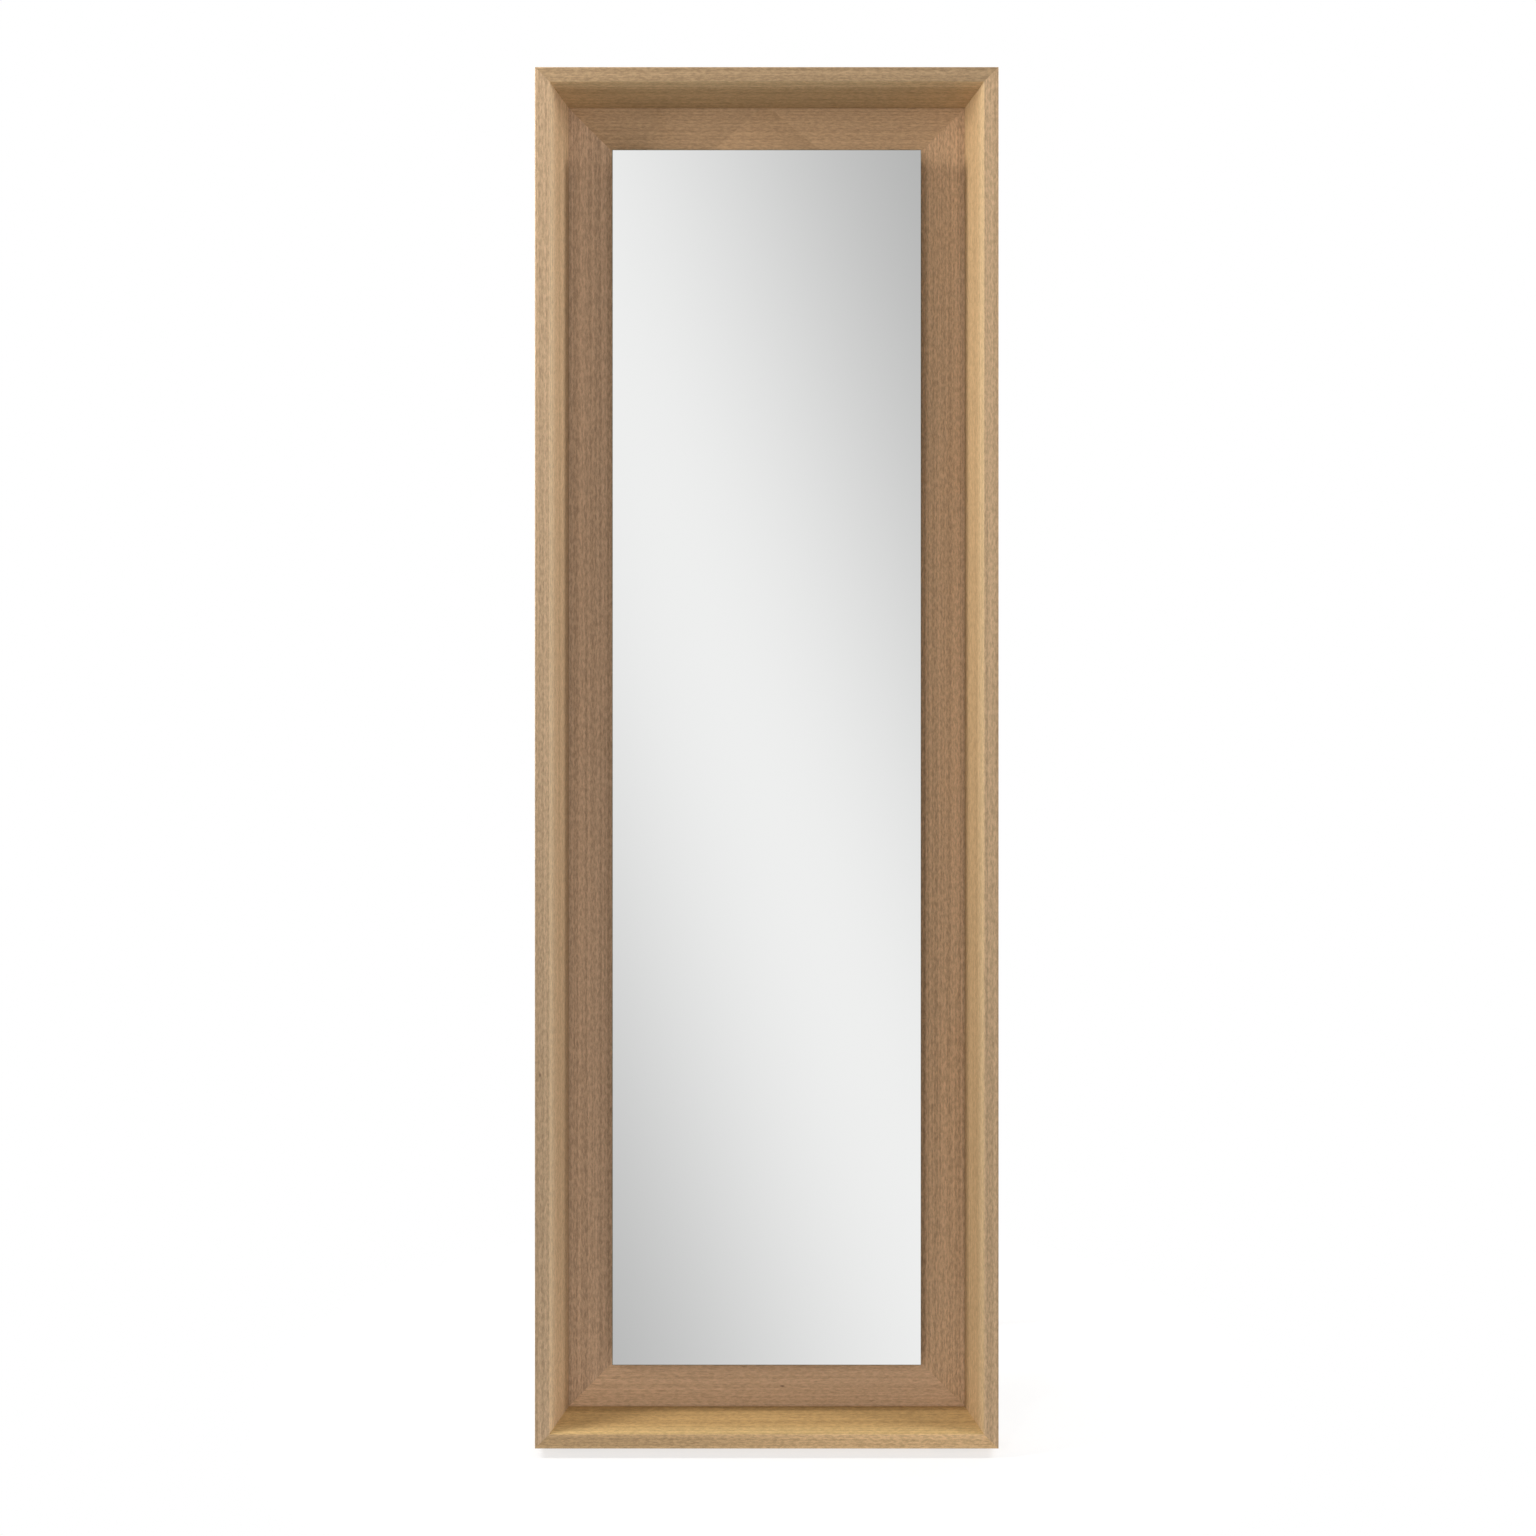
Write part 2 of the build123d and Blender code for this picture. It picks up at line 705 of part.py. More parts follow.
with BuildPart() as studs:
    for sign in (-1, 1):
        inner = stay_across - side_gap - stud_head_thick
        stud_end = ear_across + ear_thick + screw_head_thick
        with BuildSketch(turned(stud_place, sign, inner)):
            Circle(stud_radius)
        extrude(amount=stud_end - inner)
        with BuildSketch(turned(stud_place, sign, inner)):
            Circle(stud_head_radius)
        extrude(amount=stud_head_thick)
        with BuildSketch(turned(stud_place, sign, stay_across + stay_thick + side_gap)):
            Circle(rivet_radius)
        extrude(amount=ear_across - stay_across - stay_thick - side_gap)
        with BuildSketch(turned(stud_place, sign, ear_across + ear_thick)):
            Circle(rivet_radius)
        extrude(amount=screw_head_thick)
save(studs, "stay_studs")

with BuildPart() as pivot_screws:
    for sign in (-1, 1):
        head_start = stay_across + stay_thick + side_gap
        with BuildSketch(turned(arm_pivot, sign, leg_half - pivot_screw_depth)):
            Circle(stud_radius)
        extrude(amount=head_start - leg_half + pivot_screw_depth)
        with BuildSketch(turned(arm_pivot, sign, head_start)):
            Circle(screw_head_radius)
        extrude(amount=screw_head_thick)
save(pivot_screws, "stay_pivot_screws")

with BuildPart() as washers:
    for sign in (-1, 1):
        with BuildSketch(turned(arm_pivot, sign, leg_half)):
            Circle(washer_radius)
            Circle(stud_radius + pilot_gap, mode=Mode.SUBTRACT)
        extrude(amount=stay_across - side_gap - leg_half)
save(washers, "stay_washers")

# ---- D-ring hangers for the wall tether ----
loop_radius = ring_wire_radius + running_gap + strap_thick
for side, sign in (("left", -1), ("right", 1)):
    place = (sign * fixing_across, hanger_height, -frame_depth - loop_radius)
    ring_centre = mirror_face.from_local_coords(place)
    strap_plane = Plane(ring_centre, x_dir=-mirror_face.x_dir, z_dir=-mirror_face.z_dir)
    with BuildPart() as strap:
        with BuildSketch(knuckle_section(strap_plane)):
            Circle(loop_radius)
            with Locations((0, -loop_radius)):
                Rectangle(strap_length, strap_thick, align=(Align.MIN, Align.MIN))
            Circle(ring_wire_radius + running_gap, mode=Mode.SUBTRACT)
        extrude(amount=strap_width / 2, both=True)
        countersink(back.offset(strap_thick), hanger_points, fine_screw, strap_thick)
    save(strap, f"hanger_strap_{side}")

    plumb = Plane(ring_centre, x_dir=(1, 0, 0), z_dir=(0, -1, 0))
    with BuildPart() as ring:
        with BuildLine(plumb) as loop:
            flat = ring_half_width - ring_corner
            Line((-flat, 0), (flat, 0))
            RadiusArc((flat, 0), (ring_half_width, -ring_corner), ring_corner)
            RadiusArc(
                (ring_half_width, -ring_corner),
                (-ring_half_width, -ring_corner),
                ring_half_width,
            )
            RadiusArc((-ring_half_width, -ring_corner), (-flat, 0), ring_corner)
        with BuildSketch(Plane(ring_centre, x_dir=(0, 1, 0), z_dir=(1, 0, 0))):
            Circle(ring_wire_radius)
        sweep(path=loop.wire())
    save(ring, f"hanger_ring_{side}")
screw_set(back.offset(strap_thick), hanger_points, fine_screw, "hanger_screws")
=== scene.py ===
import math

import bpy
from mathutils import Matrix, Vector

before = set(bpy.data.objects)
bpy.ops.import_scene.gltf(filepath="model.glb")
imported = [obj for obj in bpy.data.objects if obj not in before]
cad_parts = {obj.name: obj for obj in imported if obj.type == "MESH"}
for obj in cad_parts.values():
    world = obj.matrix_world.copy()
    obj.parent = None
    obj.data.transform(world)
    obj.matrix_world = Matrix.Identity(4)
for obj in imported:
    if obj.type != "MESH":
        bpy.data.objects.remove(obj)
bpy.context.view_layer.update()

# Floor mirror: a deep mitred oak frame round a raised mirror, on a hinged easel leg. The packed
# model gives every piece, and this script adds fine edges, materials, the floor, light and camera.


# ---- Directions and places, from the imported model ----
def face_normal(name):
    """Normal of a piece's largest flat side, turned to the front."""
    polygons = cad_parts[name].data.polygons
    normal = max(polygons, key=lambda polygon: polygon.area).normal.copy()
    return normal if normal.y < 0 else -normal


def reach(name, direction):
    """How far a piece extends along a direction: its lowest and highest distance."""
    distances = [vertex.co.dot(direction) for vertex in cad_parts[name].data.vertices]
    return min(distances), max(distances)


ACROSS = Vector((1, 0, 0))
MIRROR_OUT = face_normal("mirror_glass")
MIRROR_UP = MIRROR_OUT.cross(ACROSS)
LEG_OUT = face_normal("leg_stile_left")
LEG_UP = LEG_OUT.cross(ACROSS)

front_plane = reach("frame_stile_left", MIRROR_OUT)[1]
lower_edge, upper_edge = reach("frame_stile_left", MIRROR_UP)
middle_up = (lower_edge + upper_edge) / 2


def mirror_place(across, up, out):
    """A place given from the middle of the mirror's frame, in the plane of its front face."""
    return ACROSS * across + MIRROR_UP * (middle_up + up) + MIRROR_OUT * (front_plane + out)


# ---- Shader helpers ----
def node(tree, kind, inputs=None, **settings):
    """Adds a shader node. Inputs are numbers, colours or sockets, by socket name or number."""
    made = tree.nodes.new("ShaderNode" + kind)
    for name, value in settings.items():
        setattr(made, name, value)
    for key, value in (inputs or {}).items():
        if isinstance(value, bpy.types.NodeSocket):
            tree.links.new(value, made.inputs[key])
        else:
            made.inputs[key].default_value = value
    return made


def maths(tree, operation, *values):
    """A number worked out from one, two or three numbers or sockets."""
    return node(tree, "Math", dict(enumerate(values)), operation=operation).outputs[0]


def smooth_step(tree, value, start, end, low=0.0, high=1.0):
    """Low before start, high after end, and a smooth turn between them."""
    inputs = {"Value": value, "From Min": start, "From Max": end, "To Min": low, "To Max": high}
    return node(tree, "MapRange", inputs, interpolation_type="SMOOTHSTEP").outputs["Result"]


def between(tree, amount, first, second):
    """A number between first, at amount 0, and second, at amount 1."""
    return node(tree, "Mix", {0: amount, 2: first, 3: second}).outputs[0]


def colour_mix(tree, amount, first, second, blend_type="MIX"):
    """Colour between first, at amount 0, and second, at amount 1."""
    mix = node(tree, "Mix", {0: amount}, data_type="RGBA", blend_type=blend_type)
    for socket, value in ((mix.inputs[6], first), (mix.inputs[7], second)):
        if isinstance(value, bpy.types.NodeSocket):
            tree.links.new(value, socket)
        else:
            socket.default_value = (*value, 1)
    return mix.outputs[2]


def vector_maths(tree, operation, first, second):
    """A vector worked out from two vectors or sockets."""
    return node(tree, "VectorMath", {0: first, 1: second}, operation=operation).outputs[0]


def dot(tree, vector, direction):
    """How far a vector goes along a direction."""
    inputs = {0: vector, 1: direction}
    return node(tree, "VectorMath", inputs, operation="DOT_PRODUCT").outputs["Value"]


def length(tree, vector):
    """The length of a vector."""
    return node(tree, "VectorMath", {0: vector}, operation="LENGTH").outputs["Value"]


def scaled(tree, vector, scale):
    """A vector stretched along each of its three directions."""
    return vector_maths(tree, "MULTIPLY", vector, scale)


def noise(tree, vector, scale=1.0, detail=2.0, roughness=0.5):
    """A soft random pattern between 0 and 1. It is the same at every run."""
    inputs = {"Vector": vector, "Scale": scale, "Detail": detail, "Roughness": roughness}
    return node(tree, "TexNoise", inputs).outputs[0]


def place(tree):
    """The place on the piece, in metres."""
    return node(tree, "TexCoord").outputs["Object"]


def surface_normal(tree):
    """The direction that the surface faces."""
    return node(tree, "TexCoord").outputs["Normal"]


def bump(tree, shader, height, distance):
    """Fine relief. The distance is the depth, in metres, of a height of 1."""
    inputs = {"Height": height, "Distance": distance}
    tree.links.new(node(tree, "Bump", inputs).outputs[0], shader.inputs["Normal"])


def new_material(name, metallic=0.0, roughness=0.5):
    """Returns a new material, its tree and its shader."""
    material = bpy.data.materials.new(name)
    material.use_nodes = True
    shader = material.node_tree.nodes["Principled BSDF"]
    shader.inputs["Metallic"].default_value = metallic
    shader.inputs["Roughness"].default_value = roughness
    return material, material.node_tree, shader


# ---- Wood ----
def grain_axes(name, up, out):
    """A board's own directions: along its grain, across it, and out of its face."""
    low, high = reach(name, ACROSS)
    bottom, top = reach(name, up)
    along = ACROSS if high - low > top - bottom else up
    return along, out.cross(along), out


# Small pin knots: the board, and the knot's place from the middle of the mirror's frame.
KNOTS = {"liner_bottom": (0.021, -0.847), "frame_stile_left": (-0.300, -0.420)}
KNOT_LENGTH = 0.004
KNOT_WIDTH = 0.0016
KNOT_EDGE = (1.1, 0.2)  # where it begins and is darkest, as a share of its length and width
KNOT_STRENGTH = 0.75
KNOT_TONE = (0.09, 0.045, 0.022)


def add_knot(tree, board, axes, offset, colour, across, up):
    """Darkens a small spot on a board. The spot runs right through the board's thickness."""
    centre = Matrix(axes) @ mirror_place(across, up, 0) + offset
    away = vector_maths(tree, "SUBTRACT", board, centre)
    away = scaled(tree, away, (1 / KNOT_LENGTH, 1 / KNOT_WIDTH, 0))
    share = smooth_step(tree, length(tree, away), *KNOT_EDGE, 0.0, KNOT_STRENGTH)
    return colour_mix(tree, share, colour, KNOT_TONE)


# The grain: how many cells of noise a metre each pattern has, along, across and through the board.
WANDER_SCALE = (0.9, 6, 6)
FLECK_SCALE = (130, 430, 430)
PORE_SCALE = (90, 1100, 1100)
CLOUD_SCALE = (2.2, 14, 14)
LINES_ALONG = 0.7
WANDER_REACH = 1.5  # how far the growth lines wander, in widths of a line
# The values of noise between which the lines and flecks turn pale, and the pores begin.
SOFT_EDGE = (0.36, 0.64)
PORE_EDGE = (0.60, 0.74)
# Each pattern's share of the contrast.
LINE_SHARE = 0.30
FLECK_SHARE = 0.54
CLOUD_SHARE = 0.16
DARK_WARMTH = (1.0, 0.97, 0.93)  # the dark grain is a little warmer than the pale
PORE_STRENGTH = 0.36
PORE_TONE = 0.35  # the pores' colour, as a share of the board's tone
# The wood's gloss: its roughness, and what the pale lines and the pores add to it.
WOOD_SPECULAR = 0.3
WOOD_ROUGHNESS = 0.56
LINE_ROUGHNESS = -0.08
PORE_ROUGHNESS = 0.2
# The wood's relief: its depth in metres at a fleck, and the others' heights beside a fleck's.
WOOD_RELIEF = 0.00015
LINE_HEIGHT = 0.5
PORE_HEIGHT = -0.9
SEED_STEP = Vector((0.37, 0.21, 0.13))  # takes each board's grain from another place


def wood(name, axes, seed, tone, line_pitch=0.0028, contrast=0.30, pores=1.0):
    """Straight-grained wood: long growth lines, short flecks, pores and slow changes of tone."""
    material, tree, shader = new_material(name)
    shader.inputs["Specular IOR Level"].default_value = WOOD_SPECULAR
    offset = SEED_STEP * seed
    turn = Matrix(axes).to_euler()
    inputs = {"Vector": place(tree), "Rotation": turn, "Location": offset}
    board = node(tree, "Mapping", inputs).outputs[0]
    wander = noise(tree, scaled(tree, board, WANDER_SCALE))
    wander = maths(tree, "MULTIPLY", wander, WANDER_REACH * line_pitch)
    drift = node(tree, "CombineXYZ", {1: wander, 2: wander}).outputs[0]
    bent = vector_maths(tree, "ADD", board, drift)
    line_scale = (LINES_ALONG, 1 / line_pitch, 1 / line_pitch)
    lines = noise(tree, scaled(tree, bent, line_scale), detail=1.5, roughness=0.6)
    flecks = noise(tree, scaled(tree, bent, FLECK_SCALE), detail=3, roughness=0.75)
    pore = noise(tree, scaled(tree, bent, PORE_SCALE), detail=1)
    clouds = noise(tree, scaled(tree, board, CLOUD_SCALE), detail=2)

    line_share = smooth_step(tree, lines, *SOFT_EDGE)
    fleck_share = smooth_step(tree, flecks, *SOFT_EDGE)
    pore_share = smooth_step(tree, pore, *PORE_EDGE)
    share = maths(tree, "MULTIPLY", line_share, LINE_SHARE)
    share = maths(tree, "MULTIPLY_ADD", fleck_share, FLECK_SHARE, share)
    share = maths(tree, "MULTIPLY_ADD", clouds, CLOUD_SHARE, share)
    light = [part * (1 + contrast) for part in tone]
    dark = [part * (1 - contrast) * warm for part, warm in zip(tone, DARK_WARMTH)]
    colour = colour_mix(tree, share, dark, light)
    pore_amount = maths(tree, "MULTIPLY", pore_share, PORE_STRENGTH * pores)
    colour = colour_mix(tree, pore_amount, colour, [part * PORE_TONE for part in tone])
    if name in KNOTS:
        colour = add_knot(tree, board, axes, offset, colour, *KNOTS[name])
    tree.links.new(colour, shader.inputs["Base Color"])

    gloss = maths(tree, "MULTIPLY_ADD", line_share, LINE_ROUGHNESS, WOOD_ROUGHNESS)
    gloss = maths(tree, "MULTIPLY_ADD", pore_share, PORE_ROUGHNESS, gloss)
    tree.links.new(gloss, shader.inputs["Roughness"])
    height = maths(tree, "MULTIPLY_ADD", pore_share, PORE_HEIGHT, fleck_share)
    height = maths(tree, "MULTIPLY_ADD", line_share, LINE_HEIGHT, height)
    bump(tree, shader, height, WOOD_RELIEF)
    return material, tree, shader


# Painted light on the sloping walls: a painted highlight along the eased lip, and painted shade at
# the foot.
LIP_PAINTED_HIGHLIGHT = (1.24, 1.34, 1.44)
FOOT_PAINTED_SHADE = (0.88, 0.85, 0.83)
# Depths behind the front face, in metres, at which the painted highlight and the painted shade
# each begin and are full.
LIP_DEPTHS = (0.022, 0.004)
FOOT_DEPTHS = (0.044, 0.057)
# How far a surface faces the front where the sides turn to the sloping wall, and where the front
# face turns to it.
WALL_FROM = (0.1, 0.3)
WALL_TO = (0.9, 0.6)
# How much a front face pales along its board, and from where to where along it, in metres.
FACE_PALING = {"frame_rail_bottom": 0.15}
DRIFT_REACH = (-0.25, 0.25)
CALM = 0.2  # share of the wall's grain that the board's even tone replaces


def frame_wood(name, axes, seed, face, wall):
    """Oak of one tone all round, and of another on the sloping wall, which is partly the wood's
    colour and partly painted light and shade; the wall's lip has a painted highlight and its foot
    painted shade.
    """
    material, tree, shader = wood(name, axes, seed, face)
    grain = shader.inputs["Base Color"].links[0].from_socket
    facing = dot(tree, surface_normal(tree), MIRROR_OUT)
    inward = smooth_step(tree, facing, *WALL_FROM)
    sloping = maths(tree, "MULTIPLY", inward, smooth_step(tree, facing, *WALL_TO))
    calmer = colour_mix(tree, CALM, grain, face)
    # The wall's tone against the face is partly the wood's colour and partly painted light and
    # shade.
    wall_tone_with_painted_light = [there / here for there, here in zip(wall, face)]
    wall_colour_with_painted_light = colour_mix(tree, 1.0, calmer, wall_tone_with_painted_light, "MULTIPLY")
    # The bottom rail's face is made paler towards one end along its length.
    if name in FACE_PALING:
        along = dot(tree, place(tree), axes[0])
        drift = FACE_PALING[name]
        shade = smooth_step(tree, along, *DRIFT_REACH, 1 - drift, 1 + drift)
        grain = colour_mix(tree, 1.0, grain, shade, "MULTIPLY")
    colour = colour_mix(tree, sloping, grain, wall_colour_with_painted_light)

    depth = maths(tree, "SUBTRACT", front_plane, dot(tree, place(tree), MIRROR_OUT))
    # The wall's lip gets a painted highlight and its foot painted shade.
    for depths, painted_edge_shading in ((LIP_DEPTHS, LIP_PAINTED_HIGHLIGHT), (FOOT_DEPTHS, FOOT_PAINTED_SHADE)):
        share = maths(tree, "MULTIPLY", sloping, smooth_step(tree, depth, *depths))
        colour = colour_mix(tree, share, colour, painted_edge_shading, "MULTIPLY")
    tree.links.new(colour, shader.inputs["Base Color"])
    return material


# ---- Other materials ----
ROUGHNESS_SPREAD = 0.16  # how much a surface's roughness changes from spot to spot


def grainy_shader(tree, scale, dark, light, roughness):
    """A second shader with a fine even grain of its own."""
    grain = noise(tree, place(tree), scale=scale, detail=3)
    inputs = {"Base Color": colour_mix(tree, grain, dark, light), "Roughness": roughness}
    return node(tree, "BsdfPrincipled", inputs).outputs[0]


SILVER = (0.93, 0.935, 0.93, 1)
WIPE_SCALE = (9, 9, 2.5)
WIPE_EDGE = (0.45, 0.8)
WIPE_ROUGHNESS = (0.002, 0.02)
SQUARE_ON = 0.95  # a surface that faces this far along a direction is taken as square to it


def mirror_material():
    """Silvered glass: a clear reflection on the face, green glass at the edge, grey behind."""
    material, tree, silver = new_material("mirror", metallic=1.0)
    silver.inputs["Base Color"].default_value = SILVER
    wipes = noise(tree, scaled(tree, place(tree), WIPE_SCALE), detail=4, roughness=0.6)
    gloss = smooth_step(tree, wipes, *WIPE_EDGE, *WIPE_ROUGHNESS)
    tree.links.new(gloss, silver.inputs["Roughness"])
    edge = grainy_shader(
        tree, scale=40, dark=(0.07, 0.12, 0.10), light=(0.16, 0.24, 0.20), roughness=0.08,
    )
    paint = grainy_shader(
        tree, scale=900, dark=(0.16, 0.17, 0.18), light=(0.24, 0.25, 0.26), roughness=0.6,
    )
    facing = dot(tree, surface_normal(tree), MIRROR_OUT)
    on_face = maths(tree, "GREATER_THAN", facing, SQUARE_ON)
    on_back = maths(tree, "LESS_THAN", facing, -SQUARE_ON)
    shown = node(tree, "MixShader", {0: on_face, 1: edge, 2: silver.outputs[0]}).outputs[0]
    shown = node(tree, "MixShader", {0: on_back, 1: shown, 2: paint}).outputs[0]
    tree.links.new(shown, tree.nodes["Material Output"].inputs["Surface"])
    return material


DULL_PLATING = 0.72  # the cloudy plating's darkest tone, as a share of its colour
MARKS_STRETCH = 8
MARKS_ROUGHNESS = 0.08
STEEL_RELIEF = 0.00004


def steel_material(name, colour, roughness, marks_scale):
    """Zinc-plated steel with fine rolling marks and cloudy plating."""
    material, tree, shader = new_material(name, metallic=1.0)
    stretch = (marks_scale, marks_scale, marks_scale * MARKS_STRETCH)
    marks = noise(tree, scaled(tree, place(tree), stretch), detail=3)
    clouds = noise(tree, place(tree), scale=60, detail=4, roughness=0.6)
    shade = [part * DULL_PLATING for part in colour]
    tree.links.new(colour_mix(tree, clouds, shade, colour), shader.inputs["Base Color"])
    smoothest = roughness - ROUGHNESS_SPREAD / 2
    gloss = maths(tree, "MULTIPLY_ADD", clouds, ROUGHNESS_SPREAD, smoothest)
    gloss = maths(tree, "MULTIPLY_ADD", marks, MARKS_ROUGHNESS, gloss)
    tree.links.new(gloss, shader.inputs["Roughness"])
    bump(tree, shader, marks, STEEL_RELIEF)
    return material


PATCH_SIZE = 40  # how many times larger a patch is than a grain
PATCH_SHARE = 0.4


def speckled_material(name, dark, light, scale, roughness, depth):
    """A moulded or pressed surface with a fine even grain and faint patches."""
    material, tree, shader = new_material(name)
    grain = noise(tree, place(tree), scale=scale, detail=3, roughness=0.6)
    patches = noise(tree, place(tree), scale=scale / PATCH_SIZE)
    share = maths(tree, "MULTIPLY", grain, 1 - PATCH_SHARE)
    share = maths(tree, "MULTIPLY_ADD", patches, PATCH_SHARE, share)
    tree.links.new(colour_mix(tree, share, dark, light), shader.inputs["Base Color"])
    smoothest = roughness - ROUGHNESS_SPREAD / 2
    gloss = maths(tree, "MULTIPLY_ADD", grain, ROUGHNESS_SPREAD, smoothest)
    tree.links.new(gloss, shader.inputs["Roughness"])
    bump(tree, shader, grain, depth)
    return material


# ---- Pieces ----
def dress(name, material):
    """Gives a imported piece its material."""
    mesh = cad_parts[name].data
    mesh.materials.clear()
    mesh.materials.append(material)


# Rounds and gaps in metres.
FRAME_ROUND = 0.0007
LINER_ROUND = 0.0004
WELD_GAP = 0.00001
FLAT_ANGLE = 0.002  # faces closer than this to one plane, in radians, become one face
EDGE_ANGLE = 0.6    # edges sharper than this, in radians, are rounded


def ease_edges(name, width):
    """A fine round on a piece's edges, which also draws the hairline at a mitre."""
    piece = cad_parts[name]
    weld = piece.modifiers.new("weld", "WELD")
    weld.merge_threshold = WELD_GAP
    flat = piece.modifiers.new("flat_faces", "DECIMATE")
    flat.decimate_type = "DISSOLVE"
    flat.angle_limit = FLAT_ANGLE
    ease = piece.modifiers.new("ease", "BEVEL")
    ease.width = width
    ease.segments = 2
    ease.limit_method = "ANGLE"
    ease.angle_limit = EDGE_ANGLE


# Oak of the frame and of the liner. Each board is a little paler or darker than its oak, and a
# little warmer or cooler, in steps of 0.05.
FRAME_OAK = (0.59, 0.40, 0.225)
LINER_OAK = (0.59, 0.38, 0.225)
GREEN_WARMTH = 0.2  # how much of the warmth the green takes


def oak(tone, light, warmth):
    """A tone of oak, made paler above 1, and warmer above 0 by taking away its blue."""
    red, green, blue = [part * light for part in tone]
    return red, green * (1 - GREEN_WARMTH * warmth), blue * (1 - warmth)


# The frame's boards: lightness and warmth of the front face, and of the sloping wall, whose tone
# is partly the wood's colour and partly painted light and shade.
FRAME_BOARDS = {
    "frame_rail_bottom": ((1.10, 0.10), (0.90, 0.30)),
    "frame_rail_top": ((0.85, 0.0), (1.0, 0.10)),
    "frame_stile_left": ((0.95, -0.10), (1.20, -0.05)),
    "frame_stile_right": ((1.05, -0.05), (0.95, 0.10)),
}
# The other boards: their tone, then any settings of their grain that differ.
BACK_OAK = (0.40, 0.26, 0.15)
BACK_PITCH = 0.005
PINE_GRAIN = {"line_pitch": 0.007, "pores": 0.0}
PINE = (0.56, 0.39, 0.22)
BEECH = (0.51, 0.33, 0.21)
PLY = (0.53, 0.39, 0.25)
MIRROR_BOARDS = {
    "liner_bottom": (oak(LINER_OAK, 1.10, 0.0), {"contrast": 0.20}),
    "liner_left": (oak(LINER_OAK, 0.90, -0.05), {"contrast": 0.35}),
    "liner_right": (oak(LINER_OAK, 1.0, 0.05), {"contrast": 0.35}),
    "liner_top": (oak(LINER_OAK, 0.85, 0.10), {"contrast": 0.25}),
    "hinge_batten": (BACK_OAK, {"line_pitch": BACK_PITCH}),
    "spacer_bottom": (PINE, PINE_GRAIN),
    "spacer_left": (PINE, PINE_GRAIN),
    "spacer_right": (PINE, PINE_GRAIN),
    "spacer_top": (PINE, PINE_GRAIN),
    "mitre_biscuits": (BEECH, {"line_pitch": 0.002, "pores": 0.3}),
    "back_panel": (PLY, {"line_pitch": 0.014, "pores": 0.2}),
}
LEG_BOARDS = (
    "leg_rail_bottom", "leg_rail_middle", "leg_rail_top", "leg_stile_left", "leg_stile_right",
)

seed = 0
for name, sides in FRAME_BOARDS.items():
    seed += 1
    tones = [oak(FRAME_OAK, *side) for side in sides]
    dress(name, frame_wood(name, grain_axes(name, MIRROR_UP, MIRROR_OUT), seed, *tones))
    ease_edges(name, FRAME_ROUND)
for name, (tone, settings) in MIRROR_BOARDS.items():
    seed += 1
    axes = grain_axes(name, MIRROR_UP, MIRROR_OUT)
    dress(name, wood(name, axes, seed, tone, **settings)[0])
    if name.startswith("liner_"):
        ease_edges(name, LINER_ROUND)
for name in LEG_BOARDS:
    seed += 1
    axes = grain_axes(name, LEG_UP, LEG_OUT)
    dress(name, wood(name, axes, seed, BACK_OAK, line_pitch=BACK_PITCH)[0])

hinge_steel = steel_material(
    "hinge_steel", colour=(0.64, 0.65, 0.67), roughness=0.32, marks_scale=220,
)
screw_steel = steel_material(
    "screw_steel", colour=(0.70, 0.69, 0.66), roughness=0.26, marks_scale=500,
)
board_black = speckled_material(
    "board_black", dark=(0.02, 0.02, 0.02), light=(0.045, 0.043, 0.04),
    scale=900, roughness=0.7, depth=0.0001,
)
rubber = speckled_material(
    "rubber", dark=(0.015, 0.015, 0.016), light=(0.03, 0.03, 0.031),
    scale=1400, roughness=0.62, depth=0.0001,
)
foam = speckled_material(
    "foam", dark=(0.7, 0.7, 0.68), light=(0.82, 0.82, 0.8),
    scale=1500, roughness=0.9, depth=0.0002,
)

# Materials by the start of a piece's name.
FINISHES = [
    (hinge_steel, ("hinge_left_", "hinge_right_", "hinge_pins", "corner_plates", "stay_arm_")),
    (hinge_steel, ("stay_bracket_left", "stay_bracket_right", "stay_washers", "hanger_")),
    (screw_steel, ("hinge_screws_", "corner_plate_screws", "stay_bracket_screws", "stay_studs")),
    (screw_steel, ("stay_pivot_screws", "hanger_screws", "liner_screws", "spacer_screws")),
    (screw_steel, ("backer_screws", "back_panel_screws", "batten_screws")),
    (rubber, ("frame_foot_", "leg_foot_", "leg_bumpers")),
    (board_black, ("mirror_backer",)),
    (foam, ("mounting_tape",)),
    (mirror_material(), ("mirror_glass",)),
]
for material, starts in FINISHES:
    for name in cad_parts:
        if name.startswith(starts):
            dress(name, material)


# ---- Floor ----
FLOOR_SHADE = ((0.33, 0.33, 0.33), (0.36, 0.36, 0.36))
FLOOR_SHOWN = 0.7   # glow that the camera, the mirror and the steel see
FLOOR_LIGHT = 0.3   # glow that lights the pieces
FLOOR_GAP = 0.0002  # below the feet, so that no two faces share a plane


